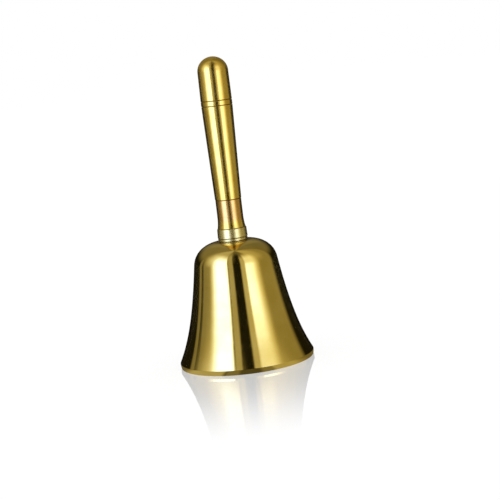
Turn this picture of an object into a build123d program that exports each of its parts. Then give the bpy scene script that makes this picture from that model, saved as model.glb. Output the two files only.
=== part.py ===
from build123d import *
import math
import os

# Brass hand bell: a bell spun from sheet, a turned handle threaded on a steel tie rod, and a clapper
# that hangs from the foot of that rod on a wire link.
# Millimetres. +Z runs up the bell's axis. The origin is the middle of the mouth, on the plane of the rim.

# --- bell -----------------------------------------------------------------------------------------
MOUTH_RADIUS = 40.0        # widest circle of the lip
LIP_HEIGHT = 2.96          # height of that circle above the rim
RIM_INSET = 0.42           # how far the lip band draws in from that circle down to the rim
SHOULDER_RADIUS = 24.8     # where the flank turns into the shoulder
SHOULDER_HEIGHT = 60.44    # height of that turn above the rim
FLANK_TAPER = 0.113        # steady lean of the flank, radius lost for each millimetre of height
FLARE_LENGTH = 23.66       # how quickly the flare at the mouth dies away up the flank
SHOULDER_ARC = 13.5        # radius of the shoulder's lower arc
SHOULDER_TURN = 54.2       # degrees above the horizontal at which the crown's arc takes over
CROWN_MARGIN = 0.4         # flat crown left round the seat disc
BELL_WALL = 2.0
LIP_WALL = 3.2             # wall at the rim, where the clapper strikes
BOW_HEIGHT = 24.0          # the wall thins from the lip to BELL_WALL over this height
RIM_EDGE = 0.3             # rounding of the rim's two edges
FLANK_POINTS = 9           # points that the flank's spline passes through
TOUCH = 0.01               # an edge within this of z = 0 lies on the rim

# --- handle, from the crown up --------------------------------------------------------------------
DISC_RADIUS = 8.7
DISC_HEIGHT = 1.8
COLLAR_FOOT_RADIUS = 8.87
COLLAR_TOP_RADIUS = 8.68
COLLAR_HEIGHT = 5.7
NECK_RADIUS = 7.65
NECK_FLARE = 0.65          # how far the ferrule's foot spreads
NECK_FLARE_HEIGHT = 6.8
FERRULE_HEIGHT = 17.0
GRIP_FOOT_RADIUS = 7.79
GRIP_TOP_RADIUS = 9.16
GRIP_LENGTH = 55.2
GRIP_BORE_RADIUS = 6.0
BAND_RADIUS = 9.18
BAND_HEIGHT = 3.0
CAP_FOOT_RADIUS = 9.18
CAP_TOP_RADIUS = 9.0
CAP_BARREL = 16.9          # straight part of the cap, below the dome
DOME_CORNER_ARC = 8.6      # radius of the dome's lower arc
DOME_TURN = 54.7           # degrees above the horizontal at which the dome's top arc takes over
JOINT_CHAMFER = 0.28       # chamfers that meet in a fine groove at each joint of the handle
SPIGOT_LENGTH = 5.0        # how far each spigot enters the grip
NECK_SPIGOT_RADIUS = 4.9   # spigot that centres collar, disc and bell on the handle
NECK_SPIGOT_SHY = 0.5      # it stops this far short of the crown's inner face
SPIGOT_CLEARANCE = 0.08

# --- tie rod and what clamps the bell -------------------------------------------------------------
ROD_RADIUS = 3.0           # M6
ROD_HOLE_CLEARANCE = 0.2
THREAD_CLEARANCE = 0.04    # between the plain cylinders that stand for a thread and its nut
CAP_THREAD_DEPTH = 14.0    # tapped hole in the cap
ROD_END_GAP = 2.0          # rod's end to the bottom of that hole
LEATHER_WASHER_RADIUS = 8.4
LEATHER_WASHER_HEIGHT = 1.0
CROWN_WASHER_RADIUS = 7.6
CROWN_WASHER_HEIGHT = 1.2
SPRING_WASHER_RADIUS = 5.5
SPRING_WASHER_HEIGHT = 1.5
SPRING_WASHER_SPLIT = 0.8
WASHER_EDGE = 0.15         # easing of a washer's outer edges
NUT_ACROSS_FLATS = 10.0    # M6
NUT_HEIGHT = 5.0
ROD_TAIL = 3.0             # threaded rod left showing below the nut
TONGUE_THICKNESS = 2.4     # the rod's flattened foot
TONGUE_DROP = 4.2          # from the tail's end down to the link's hole

# --- clapper --------------------------------------------------------------------------------------
LINK_WIRE_RADIUS = 0.9
LINK_RADIUS = 4.5          # to the middle of the wire
LINK_HOLE_CLEARANCE = 0.65
LINK_SAG = 0.2             # the link's wire hangs this far below the middle of its hole
CLAPPER_WIRE_RADIUS = 1.5  # M3
EYE_INNER_RADIUS = 2.0
EYE_GAP = 0.3              # link wire to the eye that rides on it
BALL_RADIUS = 8.5
BALL_HEIGHT = 13.0         # middle of the ball above the rim
BALL_FLAT_RADIUS = 3.3     # spot face under the jam nut
BALL_THREAD_DEPTH = 12.0
BALL_ROD_GAP = 1.5
JAM_NUT_ACROSS_FLATS = 5.5
JAM_NUT_HEIGHT = 2.4
NUT_CORNER_CHAMFER = 0.5

# --- heights and radii that follow ----------------------------------------------------------------
FLARE_AT_LIP = math.exp(-LIP_HEIGHT / FLARE_LENGTH)
FLARE_AT_SHOULDER = math.exp(-SHOULDER_HEIGHT / FLARE_LENGTH)
TAPER_TO_LIP = FLANK_TAPER * (SHOULDER_HEIGHT - LIP_HEIGHT)
FLARE = (MOUTH_RADIUS - SHOULDER_RADIUS - TAPER_TO_LIP) / (FLARE_AT_LIP - FLARE_AT_SHOULDER)


def flank_radius(z):
    """Outer radius of the flank at a height above the rim."""
    taper = FLANK_TAPER * (SHOULDER_HEIGHT - z)
    return SHOULDER_RADIUS + taper + FLARE * (math.exp(-z / FLARE_LENGTH) - FLARE_AT_SHOULDER)


def flank_lean(z):
    """Radius lost for each millimetre of height."""
    return FLANK_TAPER + FLARE / FLARE_LENGTH * math.exp(-z / FLARE_LENGTH)


SHOULDER_START = math.degrees(math.atan(flank_lean(SHOULDER_HEIGHT)))
CROWN_FLAT_RADIUS = DISC_RADIUS + CROWN_MARGIN


def polar(centre, radius, degrees):
    """Point on a circle in the turning plane, as (radius, height)."""
    angle = math.radians(degrees)
    return (centre[0] + radius * math.cos(angle), centre[1] + radius * math.sin(angle))


SHOULDER_CENTRE = polar((SHOULDER_RADIUS, SHOULDER_HEIGHT), -SHOULDER_ARC, SHOULDER_START)
CROWN_ARC = SHOULDER_ARC + (SHOULDER_CENTRE[0] - CROWN_FLAT_RADIUS) / math.cos(math.radians(SHOULDER_TURN))
CROWN_CENTRE = polar(SHOULDER_CENTRE, SHOULDER_ARC - CROWN_ARC, SHOULDER_TURN)

CROWN_Z = CROWN_CENTRE[1] + CROWN_ARC
COLLAR_Z = CROWN_Z + DISC_HEIGHT
FERRULE_Z = COLLAR_Z + COLLAR_HEIGHT
GRIP_Z = FERRULE_Z + FERRULE_HEIGHT
BAND_Z = GRIP_Z + GRIP_LENGTH
CAP_Z = BAND_Z + BAND_HEIGHT
DOME_Z = CAP_Z + CAP_BARREL

CROWN_INNER_Z = CROWN_Z - BELL_WALL
LEATHER_WASHER_Z = CROWN_INNER_Z - LEATHER_WASHER_HEIGHT
CROWN_WASHER_Z = LEATHER_WASHER_Z - CROWN_WASHER_HEIGHT
SPRING_WASHER_Z = CROWN_WASHER_Z - SPRING_WASHER_HEIGHT
NUT_Z = SPRING_WASHER_Z - NUT_HEIGHT
TAIL_Z = NUT_Z - ROD_TAIL
LINK_HOLE_Z = TAIL_Z - TONGUE_DROP
LINK_TOP_Z = LINK_HOLE_Z - LINK_SAG
LINK_Z = LINK_TOP_Z - LINK_RADIUS
LINK_FOOT_Z = LINK_Z - LINK_RADIUS
EYE_RADIUS = EYE_INNER_RADIUS + CLAPPER_WIRE_RADIUS
EYE_Z = LINK_FOOT_Z + LINK_WIRE_RADIUS + EYE_GAP - EYE_INNER_RADIUS
BALL_FLAT_Z = BALL_HEIGHT + math.sqrt(BALL_RADIUS ** 2 - BALL_FLAT_RADIUS ** 2)

SPIGOT_RADIUS = GRIP_BORE_RADIUS - SPIGOT_CLEARANCE
NECK_BORE_RADIUS = NECK_SPIGOT_RADIUS + SPIGOT_CLEARANCE
ROD_HOLE_RADIUS = ROD_RADIUS + ROD_HOLE_CLEARANCE
ROD_THREAD_RADIUS = ROD_RADIUS + THREAD_CLEARANCE
CLAPPER_THREAD_RADIUS = CLAPPER_WIRE_RADIUS + THREAD_CLEARANCE

STAND = (Align.CENTER, Align.CENTER, Align.MIN)


# --- shapes used more than once -------------------------------------------------------------------
def turned(*outline):
    """One full turn about +Z of a closed outline of (radius, height) edges."""
    return revolve(Plane.XZ * make_face(Curve() + list(outline)), Axis.Z)


def rod(radius, z_low, z_high):
    """Upright cylinder on the axis."""
    return Pos(0, 0, z_low) * Cylinder(radius, z_high - z_low, align=STAND)


def washer(outer, bore, z_low, height, edge):
    """Flat ring with its outer edges eased."""
    blank = chamfered_disc(outer, outer, height, edge)
    return Pos(0, 0, z_low) * (blank - Cylinder(bore, height, align=STAND))


def chamfered_disc(foot_radius, top_radius, height, edge):
    """Short cone that stands on z = 0, with both of its outer edges chamfered."""
    points = [
        (0, 0),
        (foot_radius - edge, 0),
        (foot_radius, edge),
        (top_radius, height - edge),
        (top_radius - edge, height),
        (0, height),
    ]
    return turned(Polyline(*points, close=True))


def hex_nut(across_flats, bore, z_low, height):
    """Hexagon nut, its corners turned off at both ends."""
    prism = extrude(RegularPolygon(across_flats / 2, 6, major_radius=False), height)
    corner = across_flats / math.sqrt(3)
    blank = chamfered_disc(corner, corner, height, NUT_CORNER_CHAMFER)
    return Pos(0, 0, z_low) * ((prism & blank) - Cylinder(bore, height, align=STAND))


# --- bell -----------------------------------------------------------------------------------------
def flank_curve(heights, depth):
    """Spline up the flank, set in from the outer face by depth(z)."""
    points = []
    slopes = []
    for z in heights:
        lean = flank_lean(z)
        size = math.hypot(1, lean)
        points.append((flank_radius(z) - depth(z) / size, z - depth(z) * lean / size))
        slopes.append((-lean, 1))
    return Spline(*points, tangents=(slopes[0], slopes[-1]))


def wall_depth(z):
    """Wall of the bell beside the outer face's height z."""
    return BELL_WALL + (LIP_WALL - BELL_WALL) * max(0.0, 1 - z / BOW_HEIGHT) ** 2


def shoulder_and_crown(depth):
    """The two arcs above the flank, set in by depth, and the flat crown."""
    lower = CenterArc(SHOULDER_CENTRE, SHOULDER_ARC - depth, SHOULDER_START, SHOULDER_TURN - SHOULDER_START)
    upper = CenterArc(CROWN_CENTRE, CROWN_ARC - depth, SHOULDER_TURN, 90 - SHOULDER_TURN)
    flat = Line((CROWN_FLAT_RADIUS, CROWN_Z - depth), (0, CROWN_Z - depth))
    return [lower, upper, flat]


def heights_between(low, high):
    """Evenly spaced heights for the flank's spline."""
    step = (high - low) / (FLANK_POINTS - 1)
    return [low + step * i for i in range(FLANK_POINTS)]


def bell_shell():
    """The spun bell: an outer body less its core, with the hole for the handle's spigot."""
    band_arc = (LIP_HEIGHT ** 2 + RIM_INSET ** 2) / (2 * RIM_INSET)
    band_turn = math.degrees(math.asin(LIP_HEIGHT / band_arc))
    lip_band = CenterArc((MOUTH_RADIUS - band_arc, LIP_HEIGHT), band_arc, -band_turn, band_turn)
    flank = flank_curve(heights_between(LIP_HEIGHT, SHOULDER_HEIGHT), lambda z: 0)
    rim = Line((0, 0), (MOUTH_RADIUS - RIM_INSET, 0))
    axis = Line((0, CROWN_Z), (0, 0))
    body = turned(rim, lip_band, flank, *shoulder_and_crown(0), axis)

    inner_flank = flank_curve(heights_between(0, SHOULDER_HEIGHT), wall_depth)
    start = inner_flank @ 0
    core_floor = Line((0, start.Y), (start.X, start.Y))
    core_axis = Line((0, CROWN_INNER_Z), (0, start.Y))
    core = turned(core_floor, inner_flank, *shoulder_and_crown(BELL_WALL), core_axis)

    shell = body - core - rod(NECK_BORE_RADIUS, CROWN_INNER_Z, CROWN_Z)
    rim_edges = shell.edges().filter_by_position(Axis.Z, -TOUCH, TOUCH)
    return fillet(rim_edges, RIM_EDGE)


# --- handle ---------------------------------------------------------------------------------------
def seat_disc():
    """Thin disc between the crown and the collar."""
    return washer(DISC_RADIUS, NECK_BORE_RADIUS, CROWN_Z, DISC_HEIGHT, JOINT_CHAMFER)


def foot_collar():
    """Short collar at the foot of the handle."""
    blank = chamfered_disc(COLLAR_FOOT_RADIUS, COLLAR_TOP_RADIUS, COLLAR_HEIGHT, JOINT_CHAMFER)
    return Pos(0, 0, COLLAR_Z) * blank - rod(NECK_BORE_RADIUS, COLLAR_Z, FERRULE_Z)


def neck_ferrule():
    """Flared ferrule, with a spigot up into the grip and one down through collar, disc and crown."""
    flare_arc = (NECK_FLARE_HEIGHT ** 2 + NECK_FLARE ** 2) / (2 * NECK_FLARE)
    turn = math.degrees(math.asin(NECK_FLARE_HEIGHT / flare_arc))
    neck_z = FERRULE_Z + NECK_FLARE_HEIGHT
    flare = CenterArc((NECK_RADIUS + flare_arc, neck_z), flare_arc, 180 + turn, -turn)
    foot = flare @ 0
    sides = Polyline((0, GRIP_Z), (0, FERRULE_Z), (foot.X, foot.Y))
    head = Polyline(
        (NECK_RADIUS, neck_z),
        (NECK_RADIUS, GRIP_Z - JOINT_CHAMFER),
        (NECK_RADIUS - JOINT_CHAMFER, GRIP_Z),
        (0, GRIP_Z),
    )
    blank = turned(sides, flare, head)
    upper_spigot = rod(SPIGOT_RADIUS, GRIP_Z, GRIP_Z + SPIGOT_LENGTH)
    lower_end = CROWN_INNER_Z + NECK_SPIGOT_SHY
    lower_spigot = rod(NECK_SPIGOT_RADIUS, lower_end, FERRULE_Z)
    return blank + upper_spigot + lower_spigot - rod(ROD_HOLE_RADIUS, lower_end, GRIP_Z + SPIGOT_LENGTH)


def grip():
    """Tapered tube that the hand holds."""
    blank = chamfered_disc(GRIP_FOOT_RADIUS, GRIP_TOP_RADIUS, GRIP_LENGTH, JOINT_CHAMFER)
    return Pos(0, 0, GRIP_Z) * blank - rod(GRIP_BORE_RADIUS, GRIP_Z, BAND_Z)


def band_ring():
    """Narrow ring between the grip and the cap."""
    return washer(BAND_RADIUS, GRIP_BORE_RADIUS, BAND_Z, BAND_HEIGHT, JOINT_CHAMFER)


def handle_cap():
    """Domed cap with a spigot through the band into the grip, and a tapped hole for the tie rod."""
    corner_centre = (CAP_TOP_RADIUS - DOME_CORNER_ARC, DOME_Z)
    top_arc = DOME_CORNER_ARC + corner_centre[0] / math.cos(math.radians(DOME_TURN))
    top_centre = polar(corner_centre, DOME_CORNER_ARC - top_arc, DOME_TURN)
    barrel = Polyline(
        (0, CAP_Z),
        (CAP_FOOT_RADIUS - JOINT_CHAMFER, CAP_Z),
        (CAP_FOOT_RADIUS, CAP_Z + JOINT_CHAMFER),
        (CAP_TOP_RADIUS, DOME_Z),
    )
    corner = CenterArc(corner_centre, DOME_CORNER_ARC, 0, DOME_TURN)
    top = CenterArc(top_centre, top_arc, DOME_TURN, 90 - DOME_TURN)
    axis = Line((0, top_centre[1] + top_arc), (0, CAP_Z))
    spigot_end = BAND_Z - SPIGOT_LENGTH
    blank = turned(barrel, corner, top, axis) + rod(SPIGOT_RADIUS, spigot_end, CAP_Z)
    return blank - rod(ROD_THREAD_RADIUS, spigot_end, CAP_Z + CAP_THREAD_DEPTH)


# --- tie rod and clamp ----------------------------------------------------------------------------
def tie_rod():
    """Steel rod from the cap into the bell, its foot flattened to a drilled tongue."""
    shank = rod(ROD_RADIUS, TAIL_Z, CAP_Z + CAP_THREAD_DEPTH - ROD_END_GAP)
    blade = Pos(0, 0, LINK_HOLE_Z) * Box(2 * ROD_RADIUS, TONGUE_THICKNESS, TONGUE_DROP, align=STAND)
    sideways = Pos(0, 0, LINK_HOLE_Z) * Rot(90, 0, 0)
    foot = sideways * Cylinder(ROD_RADIUS, TONGUE_THICKNESS)
    hole = sideways * Cylinder(LINK_WIRE_RADIUS + LINK_HOLE_CLEARANCE, TONGUE_THICKNESS)
    return shank + (blade & rod(ROD_RADIUS, LINK_HOLE_Z, TAIL_Z)) + foot - hole


def leather_washer():
    """Leather washer against the inside of the crown."""
    radius = LEATHER_WASHER_RADIUS
    return washer(radius, ROD_HOLE_RADIUS, LEATHER_WASHER_Z, LEATHER_WASHER_HEIGHT, WASHER_EDGE)


def crown_washer():
    """Steel washer under the leather one."""
    return washer(CROWN_WASHER_RADIUS, ROD_HOLE_RADIUS, CROWN_WASHER_Z, CROWN_WASHER_HEIGHT, WASHER_EDGE)


def spring_washer():
    """Split washer that keeps the nut tight."""
    ring = washer(SPRING_WASHER_RADIUS, ROD_HOLE_RADIUS, SPRING_WASHER_Z, SPRING_WASHER_HEIGHT, WASHER_EDGE)
    split = Box(2 * SPRING_WASHER_RADIUS, SPRING_WASHER_SPLIT, SPRING_WASHER_HEIGHT, align=STAND)
    return ring - Pos(SPRING_WASHER_RADIUS, 0, SPRING_WASHER_Z) * split


def crown_nut():
    """Nut that draws the bell and the handle together."""
    return hex_nut(NUT_ACROSS_FLATS, ROD_THREAD_RADIUS, NUT_Z, NUT_HEIGHT)


# --- clapper --------------------------------------------------------------------------------------
def clapper_link():
    """Closed wire ring through the tongue, upright across the swing."""
    return Pos(0, 0, LINK_Z) * Rot(0, 90, 0) * Torus(LINK_RADIUS, LINK_WIRE_RADIUS)


def clapper_rod():
    """Wire with an eye at its head that rides on the link, and a threaded foot in the ball."""
    eye = Pos(0, 0, EYE_Z) * Rot(90, 0, 0) * Torus(EYE_RADIUS, CLAPPER_WIRE_RADIUS)
    foot_z = BALL_FLAT_Z - BALL_THREAD_DEPTH + BALL_ROD_GAP
    return eye + rod(CLAPPER_WIRE_RADIUS, foot_z, EYE_Z - EYE_RADIUS)


def clapper_jam_nut():
    """Small nut that locks the ball on its thread."""
    return hex_nut(JAM_NUT_ACROSS_FLATS, CLAPPER_THREAD_RADIUS, BALL_FLAT_Z, JAM_NUT_HEIGHT)


def clapper_ball():
    """Turned brass ball with a flat for the nut and a tapped hole."""
    ball = Pos(0, 0, BALL_HEIGHT) * Sphere(BALL_RADIUS)
    spot_face = rod(2 * BALL_FLAT_RADIUS, BALL_FLAT_Z, BALL_HEIGHT + 2 * BALL_RADIUS)
    thread = rod(CLAPPER_THREAD_RADIUS, BALL_FLAT_Z - BALL_THREAD_DEPTH, BALL_FLAT_Z)
    return ball - spot_face - thread


PIECES = [
    bell_shell,
    seat_disc,
    foot_collar,
    neck_ferrule,
    grip,
    band_ring,
    handle_cap,
    tie_rod,
    leather_washer,
    crown_washer,
    spring_washer,
    crown_nut,
    clapper_link,
    clapper_rod,
    clapper_jam_nut,
    clapper_ball,
]

os.makedirs("parts", exist_ok=True)
for piece in PIECES:
    export_step(piece(), f"parts/{piece.__name__}.step")
print(f"crown {CROWN_Z:.2f}  link top {LINK_TOP_Z:.2f}  link middle {LINK_Z:.2f}  eye {EYE_Z:.2f}")
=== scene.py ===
"""Brass hand bell with a turned handle: every visible piece, its finish, and the studio it stands in.

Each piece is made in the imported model's own frame, in metres, and rides on that model's bodies. A piece takes
its heights from the node it stands for, and its shape from the sizes in its own class.
"""

import logging
import math
from dataclasses import dataclass, field
from enum import Enum
from typing import Callable, Optional, Sequence, Union

import bmesh
import bpy
import numpy as np
from mathutils import Matrix, Vector


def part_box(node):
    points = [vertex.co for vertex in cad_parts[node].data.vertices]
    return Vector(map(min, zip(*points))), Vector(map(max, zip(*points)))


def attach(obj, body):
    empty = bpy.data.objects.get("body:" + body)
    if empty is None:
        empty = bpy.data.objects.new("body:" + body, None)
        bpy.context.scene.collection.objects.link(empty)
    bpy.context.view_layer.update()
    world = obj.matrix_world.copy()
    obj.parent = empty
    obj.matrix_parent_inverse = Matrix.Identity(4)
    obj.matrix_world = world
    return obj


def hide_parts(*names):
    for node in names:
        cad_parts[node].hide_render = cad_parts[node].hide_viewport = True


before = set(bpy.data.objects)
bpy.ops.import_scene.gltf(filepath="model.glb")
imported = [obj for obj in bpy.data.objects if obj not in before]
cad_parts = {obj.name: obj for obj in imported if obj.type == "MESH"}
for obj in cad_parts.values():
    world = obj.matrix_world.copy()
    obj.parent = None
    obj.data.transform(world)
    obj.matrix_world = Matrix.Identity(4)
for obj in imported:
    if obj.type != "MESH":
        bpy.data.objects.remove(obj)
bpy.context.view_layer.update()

log = logging.getLogger("hand_bell")

MM = 0.001
FULL_TURN = 2 * math.pi
SEGMENTS = 256             # facets round a large turned piece
SMALL_SEGMENTS = 96        # facets round wire, threads and small hardware
SAME_POINT = 1e-7          # points nearer than this are one point
SMALLEST = 1e-6            # least sine or cosine that a length is divided by
STRAIGHT = 0.01            # a corner that turns less than this, in radians, is left alone
ROUNDING_ROOM = 0.48       # share of its shorter side that a corner's rounding may take
HOLD = 0.05 * MM           # a straight run keeps a row this near each end, so that it shades flat
LONGEST_RUN = 1.5 * MM     # rows along a straight run are no further apart than this
THREAD_ROWS = 14           # rows in one pitch of a thread
THREAD_DEPTH = 0.58        # depth of a thread, as a share of its pitch
THREAD_STEEPNESS = 2.9     # how fast a flank falls from crest to root
THREAD_CREST = 0.18        # how much of that fall is held back, which leaves the crest flat
WIRE_EASING = 0.3          # rounding of a cut end of wire, as a share of its radius
TIP_ROWS = 4               # rows in that rounding
NUT_FACE = 0.955           # radius of a nut's flat face, as a share of half its size
NUT_CHAMFER = 30.0         # slope of a nut's turned corners, in degrees
NUT_SINK = 0.09            # countersink of a nut's bore, as a share of its size
NUT_SHARP = 24.0           # edges of a nut that turn more than this shade as sharp, in degrees
CUT_SHARP = 50.0           # the same for threads and cut ends

Object = bpy.types.Object
Socket = bpy.types.NodeSocket
Point = tuple[float, float]            # (radius, height) in the turning plane
Rgb = tuple[float, float, float]
Loops = np.ndarray                     # rows of points, as (rows, points in a row, 3)
Varying = Union[float, np.ndarray]     # one value for all points, or one for each
Depth = Callable[[float], float]       # how far a face is set in, by height


class Body(Enum):
    """The bodies that pieces ride on."""

    BELL = "bell"
    LINK = "link"
    CLAPPER = "clapper"


class Slot(Enum):
    """The record's finishes."""

    BELL_BRASS = "bell_brass"
    COLLAR_BRASS = "collar_brass"
    NECK_BRASS = "neck_brass"
    HANDLE_BRASS = "handle_brass"
    CLAPPER_BRASS = "clapper_brass"
    STEEL = "steel"
    SPRING_STEEL = "spring_steel"
    LEATHER = "washer_leather"


# --- outlines -------------------------------------------------------------------------------------
@dataclass(frozen=True)
class Corner:
    """A point of an outline, and the radius that its corner is rounded to."""

    radius: float
    height: float
    rounding: float = 0.0

    def vector(self) -> Vector:
        """The corner as a vector in the turning plane."""
        return Vector((self.radius, self.height))


def polar(centre: Point, radius: float, degrees: float) -> Point:
    """Finds a point on a circle in the turning plane.

    Args:
        centre: middle of the circle.
        radius: its radius.
        degrees: angle above the horizontal.

    Returns:
        The point, as (radius, height).
    """
    angle = math.radians(degrees)
    return centre[0] + radius * math.cos(angle), centre[1] + radius * math.sin(angle)


def arc(centre: Point, radius: float, start: float, end: float, steps: int) -> list[Corner]:
    """Divides an arc into points.

    Args:
        centre: middle of the arc.
        radius: its radius.
        start: angle of its first point, in degrees.
        end: angle of its last point, in degrees.
        steps: number of runs between its points.

    Returns:
        The arc's points as corners that aren't rounded.
    """
    angles = np.linspace(start, end, steps + 1)
    return [Corner(*polar(centre, radius, angle)) for angle in angles]


def round_corner(before: Vector, corner: Corner, after: Vector, steps: int) -> list[Point]:
    """Rounds one corner of an outline.

    Args:
        before: the point before the corner.
        corner: the corner and its rounding.
        after: the point after the corner.
        steps: number of runs in the rounding.

    Returns:
        The points that take the corner's place.
    """
    here = corner.vector()
    if corner.rounding <= 0:
        return [(here.x, here.y)]
    back = (before - here).normalized()
    ahead = (after - here).normalized()
    turn = math.pi - back.angle(ahead)
    if turn < STRAIGHT:
        return [(here.x, here.y)]
    room = ROUNDING_ROOM * min((before - here).length, (after - here).length)
    tangent = min(corner.rounding * math.tan(turn / 2), room)
    radius = tangent / math.tan(turn / 2)
    centre = here + (back + ahead).normalized() * (radius / math.cos(turn / 2))
    spoke = here + back * tangent - centre
    side = math.copysign(1, back.x * ahead.y - back.y * ahead.x)
    points = []
    for step in range(steps + 1):
        angle = -side * turn * step / steps
        spun = Matrix.Rotation(angle, 2) @ spoke
        points.append((centre.x + spun.x, centre.y + spun.y))
    return points


def divide(start: Point, end: Point) -> list[Point]:
    """Adds rows along a straight run, with one close to each end.

    Args:
        start: the run's first point.
        end: its last point.

    Returns:
        The points strictly between the two.
    """
    length = math.dist(start, end)
    if length < 4 * HOLD:
        return []
    count = max(1, math.ceil((length - 2 * HOLD) / LONGEST_RUN))
    distances = np.linspace(HOLD, length - HOLD, count + 1)
    shares = distances / length
    return [(start[0] + (end[0] - start[0]) * s, start[1] + (end[1] - start[1]) * s) for s in shares]


def outline(corners: Sequence[Corner], ring: bool, steps: int = 5) -> list[Point]:
    """Rounds an outline's corners and divides its straight runs.

    Args:
        corners: the outline, in order.
        ring: True if the last corner joins the first; False if both lie on the axis.
        steps: number of runs in each rounding.

    Returns:
        The outline's points.
    """
    count = len(corners)
    points: list[Point] = []
    for index, corner in enumerate(corners):
        inner = ring or 0 < index < count - 1
        if inner:
            before = corners[index - 1].vector()
            after = corners[(index + 1) % count].vector()
            made = round_corner(before, corner, after, steps)
        else:
            made = [(corner.radius, corner.height)]
        if points:
            points += divide(points[-1], made[0])
        points += made
    if ring:
        points += divide(points[-1], points[0])
    return points


def ring_corners(bore: float, foot: float, top: float, low: float, high: float,
                 chamfer: float, easing: float) -> list[Corner]:
    """Gives the outline of a bored disc, collar or tube whose outer edges are chamfered.

    Args:
        bore: radius of its bore.
        foot: outer radius at its foot.
        top: outer radius at its top.
        low: height of its foot.
        high: height of its top.
        chamfer: width of the chamfers.
        easing: rounding of the chamfers' edges.

    Returns:
        The corners, from the bore's foot round to the bore's top.
    """
    return [
        Corner(bore, low, easing),
        Corner(foot - chamfer, low, easing),
        Corner(foot, low + chamfer, easing),
        Corner(top, high - chamfer, easing),
        Corner(top - chamfer, high, easing),
        Corner(bore, high, easing),
    ]


# --- meshes ---------------------------------------------------------------------------------------
def skin(name: str, shells: Sequence[tuple[Loops, bool]], sharp_degrees: Optional[float] = None) -> Object:
    """Stretches closed skins over rows of points.

    Args:
        name: name of the piece.
        shells: for each skin its rows, and True if its last row joins its first. An open skin is capped.
        sharp_degrees: edges that turn more than this shade as sharp; None shades all of them smooth.

    Returns:
        The new piece, linked to the scene.
    """
    build = bmesh.new()
    for loops, ring in shells:
        rows = [[build.verts.new(point) for point in loop] for loop in loops]
        if not ring:
            build.faces.new(rows[0])
            build.faces.new(rows[-1])
        count = len(rows) if ring else len(rows) - 1
        across = len(rows[0])
        for index in range(count):
            here = rows[index]
            ahead = rows[(index + 1) % len(rows)]
            for step in range(across):
                turn = (step + 1) % across
                build.faces.new((here[step], here[turn], ahead[turn], ahead[step]))
    bmesh.ops.remove_doubles(build, verts=build.verts, dist=SAME_POINT)
    bmesh.ops.dissolve_degenerate(build, edges=build.edges, dist=SAME_POINT)
    bmesh.ops.recalc_face_normals(build, faces=build.faces)
    mesh = bpy.data.meshes.new(name)
    build.to_mesh(mesh)
    build.free()
    mesh.shade_smooth()
    if sharp_degrees is not None:
        mesh.set_sharp_from_angle(angle=math.radians(sharp_degrees))
    piece = bpy.data.objects.new(name, mesh)
    bpy.context.scene.collection.objects.link(piece)
    return piece


def facets(segments: int) -> np.ndarray:
    """Angles of the facets in a full turn."""
    return np.arange(segments) * FULL_TURN / segments


def turned_row(angles: np.ndarray, radius: Varying, height: Varying) -> np.ndarray:
    """Gives one row of points round the bell's axis.

    Args:
        angles: angles of the points.
        radius: their distance from the axis, for all or for each.
        height: their height, for all or for each.

    Returns:
        The points.
    """
    return np.stack([radius * np.cos(angles), radius * np.sin(angles), height + 0 * angles], axis=1)


def spun_rows(points: Sequence[Point], segments: int) -> Loops:
    """Turns an outline about the bell's axis.

    Args:
        points: the outline.
        segments: facets in a full turn.

    Returns:
        One row of points for each point of the outline.
    """
    angles = facets(segments)
    return np.array([turned_row(angles, radius, height) for radius, height in points])


def spin(name: str, corners: Sequence[Corner], ring: bool = True, segments: int = SEGMENTS) -> Object:
    """Makes a turned piece.

    Args:
        name: name of the piece.
        corners: its outline.
        ring: True if the outline closes on itself; False if it starts and ends on the axis.
        segments: facets in a full turn.

    Returns:
        The new piece.
    """
    rows = spun_rows(outline(corners, ring), segments)
    return skin(name, [(rows, ring)])


def thread_radius(height: float, angle: np.ndarray, radius: float, pitch: float) -> np.ndarray:
    """Gives the surface of a screw thread.

    Args:
        height: height above the thread's start.
        angle: angles round the axis.
        radius: the thread's outer radius.
        pitch: height gained in one turn.

    Returns:
        The radius at each angle.
    """
    phase = (height / pitch - angle / FULL_TURN) % 1.0
    flank = np.clip(np.abs(phase - 0.5) * THREAD_STEEPNESS - THREAD_CREST, 0, 1)
    return radius - THREAD_DEPTH * pitch * flank


def threaded_rows(radius: float, pitch: float, start: float, end: float, tip: float,
                  segments: int = SMALL_SEGMENTS) -> Loops:
    """Makes the rows of a threaded stretch of rod that stands on the axis.

    Args:
        radius: outer radius of the thread.
        pitch: its pitch.
        start: height of its lower end, which has a chamfered tip.
        end: height at which the thread runs out into plain rod.
        tip: radius of the tip's flat end.
        segments: facets in a full turn.

    Returns:
        The rows, from the tip up to the plain rod.
    """
    angles = facets(segments)
    rows = []
    count = math.ceil((end - start) / (pitch / THREAD_ROWS))
    for height in np.linspace(start, end, count + 1):
        cut = thread_radius(height - start, angles, radius, pitch)
        run_out = min(1.0, (end - height) / pitch)
        plain = radius - (radius - cut) * run_out
        rows.append(turned_row(angles, np.minimum(plain, tip + (height - start)), height))
    return np.array(rows)


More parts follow.
